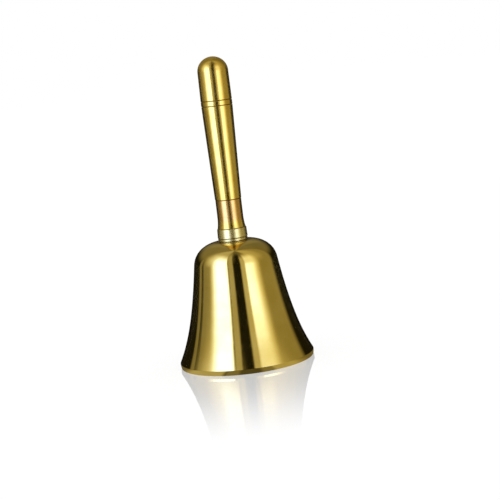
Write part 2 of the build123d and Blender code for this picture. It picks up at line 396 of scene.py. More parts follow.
def wire_rows(path: Sequence[Vector], side: Vector, radius: float, segments: int = 40) -> Loops:
    """Makes round wire along a flat path, with eased ends.

    Args:
        path: points on the wire's middle line.
        side: unit vector square to the path's plane.
        radius: radius of the wire.
        segments: facets round the wire.

    Returns:
        The rows, end to end.
    """
    rings = []
    last = len(path) - 1
    easing = WIRE_EASING * radius
    for index, point in enumerate(path):
        ahead = (path[min(index + 1, last)] - path[max(index - 1, 0)]).normalized()
        across = ahead.cross(side)
        rings.append((point, across, radius))
        if index in (0, last):
            outward = -ahead if index == 0 else ahead
            tips = []
            for turn in np.linspace(0, math.pi / 2, TIP_ROWS + 1)[1:]:
                size = radius - easing * (1 - math.cos(turn))
                tips.append((point + outward * easing * math.sin(turn), across, size))
            rings = tips[::-1] + rings if index == 0 else rings + tips
    return np.array([
        [point + (across * math.cos(angle) + side * math.sin(angle)) * size for angle in facets(segments)]
        for point, across, size in rings
    ])


def hex_nut_rows(across_flats: float, bore: float, low: float, height: float, segments: int = 144) -> Loops:
    """Makes a hexagon nut with its corners turned off and its bore countersunk.

    Args:
        across_flats: the nut's size.
        bore: radius of its bore.
        low: height of its lower face.
        height: its thickness.
        segments: facets in a full turn.

    Returns:
        The rows, from the bore's middle down, out, up and back in.
    """
    angles = facets(segments)
    apothem = across_flats / 2
    flat_turn = FULL_TURN / 6
    from_flat = (angles + flat_turn / 2) % flat_turn - flat_turn / 2
    hexagon = apothem / np.cos(from_flat)
    face = NUT_FACE * apothem
    chamfer = (hexagon - face) * math.tan(math.radians(NUT_CHAMFER))
    sink = NUT_SINK * across_flats
    top = low + height
    rings = [
        (bore, low + height / 2),
        (bore, low + sink),
        (bore + sink, low),
        (face - HOLD, low),
        (face, low),
        (hexagon, low + chamfer),
        (hexagon, top - chamfer),
        (face, top),
        (face - HOLD, top),
        (bore + sink, top),
        (bore, top - sink),
    ]
    return np.array([turned_row(angles, radius, level) for radius, level in rings])


# --- finishes -------------------------------------------------------------------------------------
class Nodes:
    """Short hand for writing a material's nodes."""

    def __init__(self, name: str) -> None:
        """Starts a material with only its output node."""
        self.material = bpy.data.materials.new(name)
        self.material.use_nodes = True
        self.tree = self.material.node_tree
        self.tree.nodes.clear()
        self.output = self.tree.nodes.new("ShaderNodeOutputMaterial")

    def add(self, kind: str, sockets: Optional[dict] = None, **settings: object) -> bpy.types.Node:
        """Adds a node.

        Args:
            kind: the node's type.
            sockets: for each input, by name or number, a value or the output that feeds it.
            settings: the node's own settings.

        Returns:
            The node.
        """
        node = self.tree.nodes.new(kind)
        for key, value in settings.items():
            setattr(node, key, value)
        for key, value in (sockets or {}).items():
            if isinstance(value, Socket):
                self.tree.links.new(value, node.inputs[key])
            else:
                node.inputs[key].default_value = value
        return node

    def math(self, operation: str, first: object, second: object = 0.0, clamp: bool = False) -> Socket:
        """Adds a Math node and returns its result."""
        node = self.add("ShaderNodeMath", {0: first, 1: second}, operation=operation, use_clamp=clamp)
        return node.outputs[0]

    def span(self, value: object, low: float, high: float, to_low: float = 0.0,
             to_high: float = 1.0) -> Socket:
        """Maps low..high smoothly onto to_low..to_high.

        Args:
            value: what is mapped.
            low: where the change starts.
            high: where it ends.
            to_low: result at low.
            to_high: result at high.

        Returns:
            The mapped value.
        """
        sockets = {0: value, 1: low, 2: high, 3: to_low, 4: to_high}
        return self.add("ShaderNodeMapRange", sockets, interpolation_type="SMOOTHSTEP").outputs[0]

    def mix(self, share: object, first: object, second: object, blend: str = "MIX") -> Socket:
        """Mixes two colours.

        Args:
            share: how much of the second shows.
            first: the first colour.
            second: the second colour.
            blend: how the two are combined.

        Returns:
            The mixed colour.
        """
        colours = [(*c, 1.0) if isinstance(c, tuple) else c for c in (first, second)]
        sockets = {0: share, 6: colours[0], 7: colours[1]}
        node = self.add("ShaderNodeMix", sockets, data_type="RGBA", blend_type=blend)
        return node.outputs[2]

    def noise(self, vector: Socket, scale: float, detail: float = 2.0,
              roughness: float = 0.5) -> Socket:
        """Adds noise.

        Args:
            vector: where it is read.
            scale: its scale.
            detail: its number of octaves.
            roughness: strength of its finer octaves.

        Returns:
            Its value, about 0 to 1.
        """
        sockets = {"Vector": vector, "Scale": scale, "Detail": detail, "Roughness": roughness}
        return self.add("ShaderNodeTexNoise", sockets).outputs[0]

    def finish(self, shader: bpy.types.Node) -> bpy.types.Material:
        """Joins the shader to the output and returns the material."""
        self.tree.links.new(shader.outputs[0], self.output.inputs["Surface"])
        return self.material


@dataclass(frozen=True)
class TurnedSpace:
    """Where a point lies on turned work: its place, its height, and its distance along the tool's path."""

    place: Socket
    height: Socket
    radius: Socket
    heading: tuple[Socket, Socket]
    path: Socket

    @staticmethod
    def read(nodes: Nodes) -> "TurnedSpace":
        """Adds the nodes that work it out from object coordinates.

        Args:
            nodes: the material.

        Returns:
            The values, for the material's other nodes.
        """
        place = nodes.add("ShaderNodeTexCoord").outputs["Object"]
        parts = nodes.add("ShaderNodeSeparateXYZ", {0: place}).outputs
        squares = nodes.math("ADD", nodes.math("MULTIPLY", parts[0], parts[0]),
                             nodes.math("MULTIPLY", parts[1], parts[1]))
        radius = nodes.math("MAXIMUM", nodes.math("SQRT", squares), 1e-5)
        heading = (nodes.math("DIVIDE", parts[0], radius), nodes.math("DIVIDE", parts[1], radius))
        path = nodes.math("SUBTRACT", parts[2], radius)
        return TurnedSpace(place, parts[2], radius, heading, path)

    def lines(self, nodes: Nodes, pitch: float, drift: float) -> Socket:
        """Adds the fine rings that a tool or a mop leaves.

        Args:
            nodes: the material.
            pitch: average spacing of the rings.
            drift: how much a ring changes on its way round; 0 makes it even.

        Returns:
            Noise that is drawn out round the axis.
        """
        across = [nodes.math("MULTIPLY", part, drift) for part in self.heading]
        along = nodes.math("DIVIDE", self.path, pitch)
        vector = nodes.add("ShaderNodeCombineXYZ", {0: across[0], 1: across[1], 2: along}).outputs[0]
        return nodes.noise(vector, 1.0, 3.0, 0.6)


@dataclass(frozen=True)
class Brass:
    """Polished turned brass."""

    name: str
    bright: Rgb
    deep: Rgb
    roughness: float = 0.10
    line_pitch: float = 0.16 * MM
    line_depth: float = 0.5e-6
    haze: float = 0.05
    wave: float = 0.015 * MM   # how far hand polishing leaves the face from true
    grooves: tuple[float, ...] = ()
    groove_reach: float = 0.35 * MM
    tarnish: Rgb = (0.20, 0.115, 0.028)
    blush: Optional[tuple[Rgb, float, float]] = None   # a second alloy tint, from one height to another

    def material(self) -> bpy.types.Material:
        """Writes the finish: mop lines, soft clouding, handling haze, and tarnish in the grooves.

        Returns:
            The material.
        """
        nodes = Nodes(self.name)
        space = TurnedSpace.read(nodes)
        lines = space.lines(nodes, self.line_pitch, 1.4)
        clouds = nodes.noise(space.place, 55.0, 3.0, 0.55)
        smears = nodes.noise(space.place, 210.0, 4.0, 0.6)
        specks = nodes.noise(space.place, 1900.0, 2.0, 0.5)

        colour = nodes.mix(nodes.span(clouds, 0.35, 0.68), self.bright, self.deep)
        if self.blush:
            tint, start, end = self.blush
            wander = nodes.math("MULTIPLY", nodes.math("SUBTRACT", clouds, 0.5), 3 * MM)
            height = nodes.math("ADD", space.height, wander)
            colour = nodes.mix(nodes.span(height, start, end), colour, tint)
        fleck = nodes.math("MULTIPLY", nodes.span(specks, 0.68, 0.82), 0.15)
        colour = nodes.mix(fleck, colour, self.tarnish)
        rough = nodes.math("ADD", nodes.span(smears, 0.40, 0.78, 0.0, self.haze), self.roughness)
        rough = nodes.math("ADD", rough, nodes.span(lines, 0.35, 0.75, 0.0, 0.35 * self.roughness))
        for groove in self.grooves:
            away = nodes.math("ABSOLUTE", nodes.math("SUBTRACT", space.height, groove))
            ragged = nodes.math("MULTIPLY", nodes.math("SUBTRACT", smears, 0.5), 0.5 * self.groove_reach)
            away = nodes.math("ADD", away, ragged)
            dirt = nodes.span(away, 0.25 * self.groove_reach, self.groove_reach, 0.7, 0.0)
            colour = nodes.mix(dirt, colour, self.tarnish)
            rough = nodes.math("ADD", rough, nodes.math("MULTIPLY", dirt, 0.3))
        hand = nodes.add("ShaderNodeBump", {"Strength": 1.0, "Distance": self.wave, "Height": clouds})
        bump = nodes.add("ShaderNodeBump", {
            "Strength": 1.0,
            "Distance": self.line_depth,
            "Height": lines,
            "Normal": hand.outputs[0],
        })
        shader = nodes.add("ShaderNodeBsdfPrincipled", {
            "Base Color": colour,
            "Metallic": 1.0,
            "Roughness": rough,
            "Normal": bump.outputs[0],
        })
        return nodes.finish(shader)


@dataclass(frozen=True)
class BellInside:
    """The bell's inner face: turned, never polished, dulled by air, and bright where the ball strikes."""

    name: str
    strike_height: float
    metal: Rgb = (0.62, 0.43, 0.12)
    dull: Rgb = (0.42, 0.28, 0.085)
    struck: Rgb = (0.86, 0.66, 0.22)
    roughness: float = 0.34

    def material(self) -> bpy.types.Material:
        """Writes the finish: turning lines, dull clouds, and the band that the ball keeps bright.

        Returns:
            The material.
        """
        nodes = Nodes(self.name)
        space = TurnedSpace.read(nodes)
        lines = space.lines(nodes, 0.45 * MM, 0.3)
        clouds = nodes.noise(space.place, 90.0, 5.0, 0.62)
        scratches = nodes.noise(space.place, 700.0, 4.0, 0.7)
        colour = nodes.mix(nodes.span(clouds, 0.36, 0.66), self.metal, self.dull)
        colour = nodes.mix(nodes.span(lines, 0.3, 0.8, 0.0, 0.3), colour, self.dull)
        away = nodes.math("ABSOLUTE", nodes.math("SUBTRACT", space.height, self.strike_height))
        ragged = nodes.math("MULTIPLY", nodes.math("SUBTRACT", scratches, 0.5), 4 * MM)
        struck = nodes.span(nodes.math("ADD", away, ragged), 0.6 * MM, 2.2 * MM, 0.8, 0.0)
        colour = nodes.mix(struck, colour, self.struck)
        rough = nodes.math("ADD", nodes.span(clouds, 0.3, 0.7, 0.0, 0.16), self.roughness)
        rough = nodes.math("SUBTRACT", rough, nodes.math("MULTIPLY", struck, 0.14))
        bump = nodes.add("ShaderNodeBump", {"Strength": 1.0, "Distance": 6e-6, "Height": lines})
        shader = nodes.add("ShaderNodeBsdfPrincipled", {
            "Base Color": colour,
            "Metallic": 1.0,
            "Roughness": rough,
            "Normal": bump.outputs[0],
        })
        return nodes.finish(shader)


@dataclass(frozen=True)
class Steel:
    """Bright plated steel, or dark oiled spring steel."""

    name: str
    bright: Rgb
    shade: Rgb
    roughness: float
    grain: float = 2.5e-6

    def material(self) -> bpy.types.Material:
        """Writes the finish: plating clouds, a fine drawn grain, and brown freckles.

        Returns:
            The material.
        """
        nodes = Nodes(self.name)
        space = TurnedSpace.read(nodes)
        clouds = nodes.noise(space.place, 260.0, 4.0, 0.6)
        grain = nodes.noise(space.place, 2600.0, 3.0, 0.65)
        freckles = nodes.noise(space.place, 900.0, 3.0, 0.55)
        colour = nodes.mix(nodes.span(clouds, 0.35, 0.7), self.bright, self.shade)
        colour = nodes.mix(nodes.span(freckles, 0.68, 0.78, 0.0, 0.6), colour, (0.16, 0.07, 0.03))
        rough = nodes.math("ADD", nodes.span(clouds, 0.3, 0.7, 0.0, 0.14), self.roughness)
        rough = nodes.math("ADD", rough, nodes.span(freckles, 0.66, 0.78, 0.0, 0.3))
        bump = nodes.add("ShaderNodeBump", {"Strength": 1.0, "Distance": self.grain, "Height": grain})
        shader = nodes.add("ShaderNodeBsdfPrincipled", {
            "Base Color": colour,
            "Metallic": 1.0,
            "Roughness": rough,
            "Normal": bump.outputs[0],
        })
        return nodes.finish(shader)


@dataclass(frozen=True)
class Leather:
    """Vegetable-tanned leather, its edge burnished dark."""

    name: str
    edge_radius: float
    face: Rgb = (0.33, 0.15, 0.06)
    dark: Rgb = (0.10, 0.04, 0.018)

    def material(self) -> bpy.types.Material:
        """Writes the finish: pebbled grain, darker pits, oil clouds and a burnished edge.

        Returns:
            The material.
        """
        nodes = Nodes(self.name)
        space = TurnedSpace.read(nodes)
        cells = nodes.add("ShaderNodeTexVoronoi", {"Vector": space.place, "Scale": 2300.0},
                          feature="DISTANCE_TO_EDGE").outputs[0]
        grain = nodes.span(cells, 0.0, 0.22)
        clouds = nodes.noise(space.place, 300.0, 4.0, 0.6)
        colour = nodes.mix(nodes.span(clouds, 0.3, 0.75), self.face, self.dark)
        colour = nodes.mix(nodes.math("SUBTRACT", 1.0, grain, clamp=True), colour, self.dark)
        edge = nodes.span(space.radius, self.edge_radius - 0.7 * MM, self.edge_radius, 0.0, 0.8)
        colour = nodes.mix(edge, colour, self.dark)
        rough = nodes.span(clouds, 0.3, 0.7, 0.52, 0.70)
        bump = nodes.add("ShaderNodeBump", {"Strength": 0.7, "Distance": 40e-6, "Height": grain})
        shader = nodes.add("ShaderNodeBsdfPrincipled", {
            "Base Color": colour,
            "Roughness": rough,
            "Specular IOR Level": 0.4,
            "Normal": bump.outputs[0],
        })
        return nodes.finish(shader)


# --- pieces ---------------------------------------------------------------------------------------
def bottom_of(node: str) -> float:
    """Height of a node's lowest point."""
    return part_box(node)[0].z


def top_of(node: str) -> float:
    """Height of a node's highest point."""
    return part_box(node)[1].z


def place(piece: Object, node: str, body: Body, slot: Slot,
          materials: Sequence[bpy.types.Material]) -> Object:
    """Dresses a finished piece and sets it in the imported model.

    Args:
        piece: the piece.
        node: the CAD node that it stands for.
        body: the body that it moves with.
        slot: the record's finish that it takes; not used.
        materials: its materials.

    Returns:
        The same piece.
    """
    for material in materials:
        piece.data.materials.append(material)
    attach(piece, body.value)
    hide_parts(node)
    log.info("%s: %d faces, rides on %s", piece.name, len(piece.data.polygons), body.value)
    return piece


@dataclass
class Bell:
    """The spun bell: lip band, flared flank, round shoulder and flat crown."""

    mouth_radius: float = 40.0 * MM
    lip_height: float = 2.96 * MM
    rim_inset: float = 0.42 * MM
    shoulder_radius: float = 24.8 * MM
    shoulder_height: float = 60.44 * MM
    flank_taper: float = 0.113
    flare_length: float = 23.66 * MM
    shoulder_arc: float = 13.5 * MM
    shoulder_turn: float = 54.2
    crown_flat: float = 9.1 * MM
    wall: float = 2.0 * MM
    lip_wall: float = 3.2 * MM
    bow_height: float = 24.0 * MM
    rim_rounding: float = 0.3 * MM
    lip_rounding: float = 0.35 * MM
    bore: float = 4.98 * MM
    bore_easing: float = 0.15 * MM
    flank_rows: int = 72
    strike_height: float = 18.8 * MM
    flare: float = field(init=False)

    def __post_init__(self) -> None:
        """Works out how strong the flare is, so that the flank ends on the lip's widest circle."""
        tapered = self.flank_taper * (self.shoulder_height - self.lip_height)
        self.flare = (self.mouth_radius - self.shoulder_radius - tapered) / self.swing(self.lip_height)

    def swing(self, height: float) -> float:
        """Share of the flare that the flank has at a height; none at the shoulder."""
        return math.exp(-height / self.flare_length) - math.exp(-self.shoulder_height / self.flare_length)

    def flank_radius(self, height: float) -> float:
        """Outer radius of the flank at a height."""
        tapered = self.flank_taper * (self.shoulder_height - height)
        return self.shoulder_radius + tapered + self.flare * self.swing(height)

    def lean(self, height: float) -> float:
        """Radius that the flank loses for each unit of height."""
        return self.flank_taper + self.flare / self.flare_length * math.exp(-height / self.flare_length)

    def wall_depth(self, height: float) -> float:
        """Thickness of the wall, which grows towards the lip."""
        return self.wall + (self.lip_wall - self.wall) * max(0.0, 1 - height / self.bow_height) ** 2

    def flank(self, start: float, end: float, depth: Depth, rows: int) -> list[Corner]:
        """Follows the flank.

        Args:
            start: height of the first point on the outer face.
            end: height of the last.
            depth: how far each point is set in from the outer face.
            rows: number of runs between them.

        Returns:
            The points.
        """
        corners = []
        for height in np.linspace(start, end, rows + 1):
            size = math.hypot(1, self.lean(height))
            inward = depth(height) / size
            corners.append(Corner(self.flank_radius(height) - inward, height - inward * self.lean(height)))
        return corners

    def shoulder(self, depth: float) -> list[Corner]:
        """Follows the shoulder's two arcs upwards.

        Args:
            depth: how far they are set in from the outer face.

        Returns:
            The points, from the flank's top to the edge of the flat crown.
        """
        start = math.degrees(math.atan(self.lean(self.shoulder_height)))
        centre = polar((self.shoulder_radius, self.shoulder_height), -self.shoulder_arc, start)
        reach = (centre[0] - self.crown_flat) / math.cos(math.radians(self.shoulder_turn))
        crown_arc = self.shoulder_arc + reach
        crown_centre = polar(centre, -reach, self.shoulder_turn)
        lower = arc(centre, self.shoulder_arc - depth, start, self.shoulder_turn, 26)
        upper = arc(crown_centre, crown_arc - depth, self.shoulder_turn, 90, 16)
        return lower[1:] + upper[1:]

    def build(self) -> Object:
        """Makes the shell as one closed skin, its inner faces marked for the second material.

        Returns:
            The bell.
        """
        band_arc = (self.lip_height ** 2 + self.rim_inset ** 2) / (2 * self.rim_inset)
        band_turn = math.degrees(math.asin(self.lip_height / band_arc))
        band = arc((self.mouth_radius - band_arc, self.lip_height), band_arc, -band_turn, 0, 5)
        rim = Corner(band[0].radius, band[0].height, self.rim_rounding)
        lip = Corner(band[-1].radius, band[-1].height, self.lip_rounding)
        flank = self.flank(self.lip_height, self.shoulder_height, lambda height: 0.0, self.flank_rows)
        crown = top_of("bell_shell")
        bore_edge = Corner(self.bore, crown, self.bore_easing)
        outer = [rim, *band[1:-1], lip, *flank[1:], *self.shoulder(0.0), bore_edge]

        inner_flank = self.flank(0.0, self.shoulder_height, self.wall_depth, self.flank_rows)
        inner_rim = Corner(inner_flank[0].radius, 0.0, self.rim_rounding)
        above_rim = [corner for corner in inner_flank if corner.height >= 0]
        inner = [inner_rim, *above_rim, *self.shoulder(self.wall), Corner(self.bore, crown - self.wall)]

        points = outline([*outer, *reversed(inner)], ring=True)
        shell = skin("bell_shell_visual", [(spun_rows(points, SEGMENTS), True)])
        self.mark_inside(shell, crown)
        return shell

    def mark_inside(self, shell: Object, crown: float) -> None:
        """Gives the inner faces the second material.

        Args:
            shell: the bell.
            crown: height of its crown.
        """
        for face in shell.data.polygons:
            middle = face.center
            axis = Vector((middle.x, middle.y, 0))
            faces_in = face.normal.dot(axis) < 0 or face.normal.z < -0.5
            off_rim = middle.z > 0.5 * self.rim_rounding and middle.z < crown - 0.5 * self.wall
            if faces_in and off_rim and axis.length > self.bore + self.bore_easing:
                face.material_index = 1

    def dress(self, shell: Object) -> None:
        """Polished outside, dull inside.

        Args:
            shell: the bell.
        """
        outside = Brass("polished_bell_brass", (0.96, 0.765, 0.255), (0.895, 0.69, 0.20), roughness=0.06,
                        line_pitch=0.20 * MM, line_depth=0.35e-6, haze=0.05, wave=0.035 * MM,
                        grooves=(top_of("bell_shell"),))
        inside = BellInside("turned_bell_inside", self.strike_height)
        place(shell, "bell_shell", Body.BELL, Slot.BELL_BRASS, [outside.material(), inside.material()])


@dataclass
class Handle:
    """The turned handle: seat disc, foot collar, ferrule, grip, band and domed cap."""

    disc_radius: float = 8.7 * MM
    collar_foot: float = 8.87 * MM
    collar_top: float = 8.68 * MM
    neck_radius: float = 7.65 * MM
    neck_flare: float = 0.65 * MM
    neck_flare_height: float = 6.8 * MM
    grip_foot: float = 7.79 * MM
    grip_top: float = 9.16 * MM
    band_radius: float = 9.18 * MM
    cap_top: float = 9.0 * MM
    dome_corner_arc: float = 8.6 * MM
    dome_turn: float = 54.7
    bore: float = 6.0 * MM
    neck_bore: float = 4.98 * MM
    rod_hole: float = 3.2 * MM
    cap_hole: float = 3.04 * MM
    cap_hole_depth: float = 14.0 * MM
    spigot: float = 5.92 * MM
    neck_spigot: float = 4.9 * MM
    chamfer: float = 0.28 * MM
    easing: float = 0.12 * MM

    def build_rings(self) -> dict[str, Object]:
        """Makes the four plain turned rings: disc, collar, grip and band.

        Returns:
            The rings, by node.
        """
        sizes = {
            "seat_disc": (self.neck_bore, self.disc_radius, self.disc_radius),
            "foot_collar": (self.neck_bore, self.collar_foot, self.collar_top),
            "grip": (self.bore, self.grip_foot, self.grip_top),
            "band_ring": (self.bore, self.band_radius, self.band_radius),
        }
        made = {}
        for node, (bore, foot, top) in sizes.items():
            corners = ring_corners(bore, foot, top, bottom_of(node), top_of(node), self.chamfer, self.easing)
            made[node] = spin(f"{node}_visual", corners)
        return made

    def build_ferrule(self) -> Object:
        """Makes the flared ferrule with its two spigots.

        Returns:
            The ferrule.
        """
        foot = top_of("foot_collar")
        head = bottom_of("grip")
        flare_arc = (self.neck_flare_height ** 2 + self.neck_flare ** 2) / (2 * self.neck_flare)
        turn = math.degrees(math.asin(self.neck_flare_height / flare_arc))
        centre = (self.neck_radius + flare_arc, foot + self.neck_flare_height)
        flare = arc(centre, flare_arc, 180 + turn, 180, 14)
        corners = [
            Corner(self.rod_hole, bottom_of("neck_ferrule"), self.easing),
            Corner(self.neck_spigot, bottom_of("neck_ferrule"), self.easing),
            Corner(self.neck_spigot, foot),
            Corner(flare[0].radius, foot, self.easing),
            *flare[1:],
            Corner(self.neck_radius, head - self.chamfer, self.easing),
            Corner(self.neck_radius - self.chamfer, head, self.easing),
            Corner(self.spigot, head),
            Corner(self.spigot, top_of("neck_ferrule"), self.easing),
            Corner(self.rod_hole, top_of("neck_ferrule"), self.easing),
        ]
        return spin("neck_ferrule_visual", corners)

    def build_cap(self) -> Object:
        """Makes the domed cap, its spigot and its tapped hole.

        Returns:
            The cap.
        """
        foot = top_of("band_ring")
        tip = top_of("handle_cap")
        corner_radius = self.cap_top - self.dome_corner_arc
        top_arc = self.dome_corner_arc + corner_radius / math.cos(math.radians(self.dome_turn))
        rise = (self.dome_corner_arc - top_arc) * math.sin(math.radians(self.dome_turn)) + top_arc
        dome = tip - rise
        top_centre = polar((corner_radius, dome), self.dome_corner_arc - top_arc, self.dome_turn)
        hole_end = foot + self.cap_hole_depth
        corners = [
            Corner(0, hole_end),
            Corner(self.cap_hole, hole_end),
            Corner(self.cap_hole, bottom_of("handle_cap")),
            Corner(self.spigot, bottom_of("handle_cap"), self.easing),
            Corner(self.spigot, foot),
            Corner(self.band_radius - self.chamfer, foot, self.easing),
            Corner(self.band_radius, foot + self.chamfer, self.easing),
            *arc((corner_radius, dome), self.dome_corner_arc, 0, self.dome_turn, 24),
            *arc(top_centre, top_arc, self.dome_turn, 90, 16)[1:-1],
            Corner(0, tip),
        ]
        return spin("handle_cap_visual", corners, ring=False)

    def dress(self, rings: dict[str, Object], ferrule: Object, cap: Object) -> None:
        """Gives each turned piece its own brass.

        Args:
            rings: the plain rings, by node.
            ferrule: the ferrule.
            cap: the cap.
        """
        joints = tuple(bottom_of(node) for node in ("seat_disc", "foot_collar", "grip", "band_ring"))
        joints += (top_of("foot_collar"), top_of("band_ring"))
        gold = Brass("handle_gold_brass", (0.96, 0.705, 0.175), (0.93, 0.65, 0.13), roughness=0.145,
                     line_pitch=0.14 * MM, line_depth=0.5e-6, haze=0.06, grooves=joints).material()
        pale = Brass("pale_collar_brass", (0.93, 0.79, 0.34), (0.89, 0.74, 0.29), roughness=0.25,
                     line_pitch=0.12 * MM, line_depth=0.3e-6, haze=0.03, grooves=joints).material()
        neck_start = top_of("foot_collar") + 0.30 * self.neck_flare_height
        neck_end = top_of("foot_collar") + 0.95 * self.neck_flare_height
        coppery = Brass("coppery_neck_brass", (0.95, 0.71, 0.16), (0.91, 0.65, 0.13), roughness=0.16,
                        line_pitch=0.14 * MM, line_depth=0.5e-6, haze=0.06, grooves=joints,
                        blush=((0.90, 0.55, 0.17), neck_start, neck_end)).material()
        for node, piece in rings.items():
            is_foot = node in ("seat_disc", "foot_collar")
            slot = Slot.COLLAR_BRASS if is_foot else Slot.HANDLE_BRASS
            place(piece, node, Body.BELL, slot, [pale if is_foot else gold])
        place(ferrule, "neck_ferrule", Body.BELL, Slot.NECK_BRASS, [coppery])
        place(cap, "handle_cap", Body.BELL, Slot.HANDLE_BRASS, [gold])


@dataclass
class CrownClamp:
    """The tie rod and the washers and nut that clamp the bell to the handle, inside the crown."""

    rod_radius: float = 3.0 * MM
    rod_pitch: float = 1.0 * MM
    rod_tip: float = 2.35 * MM
    thread_radius: float = 3.04 * MM
    rod_hole: float = 3.2 * MM
    washer_easing: float = 0.15 * MM
    nut_across_flats: float = 10.0 * MM
    spring_easing: float = 0.21 * MM
    split: float = 0.8 * MM
    split_lift: float = 0.08 * MM
    split_twist: float = 0.9       # share of that lift by which the cut ends part
    split_slant: float = 0.25      # how far the cut leans, as a share of its width
    tongue_thickness: float = 2.4 * MM
    tongue_drop: float = 4.2 * MM
    tongue_overlap: float = 0.7 * MM
    link_hole: float = 1.55 * MM
    hole_easing: float = 0.25 * MM

    def tongue_rows(self) -> Loops:
        """Makes the drilled tongue as a thick ring round its hole, rounded below and square above.

        Returns:
            The rows, once round the ring's section.
        """
        angles = facets(SMALL_SEGMENTS)
        middle = bottom_of("tie_rod") + self.rod_radius
        up = self.tongue_drop + self.tongue_overlap
        half = self.tongue_thickness / 2
        ease = self.hole_easing
        bulge_step = 0.25 * ease
        bulge_depth = half - 0.3 * ease
        hole = [(-half, ease), (ease - half, 0.0), (half - ease, 0.0), (half, ease)]
        rim = [(half, -ease), (bulge_depth, -bulge_step), (half - ease, 0.0)]
        rim += [(-depth, step) for depth, step in reversed(rim)]
        rows = []
        for depth, step in hole:
            rows.append(self.tongue_row(angles, self.link_hole + step, depth, middle))
        for depth, step in rim:
            side = math.sqrt(self.rod_radius ** 2 - depth ** 2)
            sides = side / np.maximum(np.abs(np.cos(angles)), SMALLEST)
            tops = up / np.maximum(np.sin(angles), SMALLEST)
            edge = np.where(np.sin(angles) > 0, np.minimum(sides, tops), side)
            rows.append(self.tongue_row(angles, edge + step, depth, middle))
        return np.array(rows)

    @staticmethod
    def tongue_row(angles: np.ndarray, reach: Varying, depth: float, middle: float) -> np.ndarray:
        """Gives one row of points round the tongue's hole.

        Args:
            angles: angles of the points.
            reach: their distance from the hole's middle, for all or for each.
            depth: how far they are in front of the tongue's middle, along Y.
            middle: height of the hole's middle.

        Returns:
            The points.
        """
        return np.stack([reach * np.cos(angles), depth + 0 * angles, middle + reach * np.sin(angles)], axis=1)

    def build_rod(self) -> Object:
        """Makes the tie rod: plain shank, threaded foot and flattened tongue.

        Returns:
            The tie rod.
        """
        tail = bottom_of("tie_rod") + self.rod_radius + self.tongue_drop
        thread_end = bottom_of("crown_washer")
        threaded = threaded_rows(self.rod_radius, self.rod_pitch, tail, thread_end, self.rod_tip)
        shank_top = top_of("tie_rod")
        ease = self.washer_easing
        corners = [
            Corner(self.rod_radius, thread_end),
            Corner(self.rod_radius, shank_top - ease),
            Corner(self.rod_radius - ease, shank_top),
        ]
        shank = spun_rows(outline(corners, ring=False), SMALL_SEGMENTS)
        rod = (np.concatenate([threaded, shank[1:]]), False)
        tongue = (self.tongue_rows(), True)
        return skin("tie_rod_visual", [rod, tongue], sharp_degrees=CUT_SHARP)

    def build_washer(self, node: str, bore: float, easing: float) -> Object:
        """Makes a flat washer.

        Args:
            node: the node that it stands for.
            bore: radius of its hole.
            easing: rounding of its edges.

        Returns:
            The washer.
        """
        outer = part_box(node)[1].x
        bottom = bottom_of(node)
        top = top_of(node)
        corners = [Corner(bore, bottom, easing), Corner(outer, bottom, easing),
                   Corner(outer, top, easing), Corner(bore, top, easing)]
        return spin(f"{node}_visual", corners, segments=SMALL_SEGMENTS * 2)

    def build_spring_washer(self) -> Object:
        """Makes the split washer, its two cut ends slightly out of line.

        Returns:
            The washer.
        """
        node = "spring_washer"
        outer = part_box(node)[1].y
        bottom = bottom_of(node)
        top = top_of(node)
        ease = self.spring_easing
        lift = self.split_lift
        corners = [Corner(self.rod_hole, bottom + lift, ease), Corner(outer, bottom + lift, ease),
                   Corner(outer, top - lift, ease), Corner(self.rod_hole, top - lift, ease)]
        section = outline(corners, ring=True, steps=3)
        gap = math.asin(self.split / (outer + self.rod_hole))
        rows = []
        for angle in np.linspace(gap, FULL_TURN - gap, SMALL_SEGMENTS):
            twist = lift * math.cos(angle / 2) * self.split_twist
            turn = angle + self.split_slant * self.split / outer * math.cos(angle / 2)
            rows.append([(radius * math.cos(turn), radius * math.sin(turn), height + twist)
                         for radius, height in section])
        return skin(f"{node}_visual", [(np.array(rows), False)], sharp_degrees=CUT_SHARP)

    def build_nut(self) -> Object:
        """Makes the crown nut."""
        height = top_of("crown_nut") - bottom_of("crown_nut")
        rows = hex_nut_rows(self.nut_across_flats, self.thread_radius, bottom_of("crown_nut"), height)
        return skin("crown_nut_visual", [(rows, True)], sharp_degrees=NUT_SHARP)

    def build_and_dress(self) -> None:
        """Makes all five pieces and gives them their finishes."""
        steel = Steel("plated_steel", (0.78, 0.78, 0.76), (0.56, 0.56, 0.55), 0.20).material()
        spring = Steel("oiled_spring_steel", (0.20, 0.19, 0.19), (0.09, 0.085, 0.09), 0.30).material()
        hide = Leather("tanned_leather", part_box("leather_washer")[1].x).material()
        washer = self.build_washer("leather_washer", self.rod_hole, 2 * self.washer_easing)
        place(washer, "leather_washer", Body.BELL, Slot.LEATHER, [hide])
        washer = self.build_washer("crown_washer", self.rod_hole, self.washer_easing)
        place(washer, "crown_washer", Body.BELL, Slot.STEEL, [steel])
        place(self.build_spring_washer(), "spring_washer", Body.BELL, Slot.SPRING_STEEL, [spring])
        place(self.build_nut(), "crown_nut", Body.BELL, Slot.STEEL, [steel])
        place(self.build_rod(), "tie_rod", Body.BELL, Slot.STEEL, [steel])


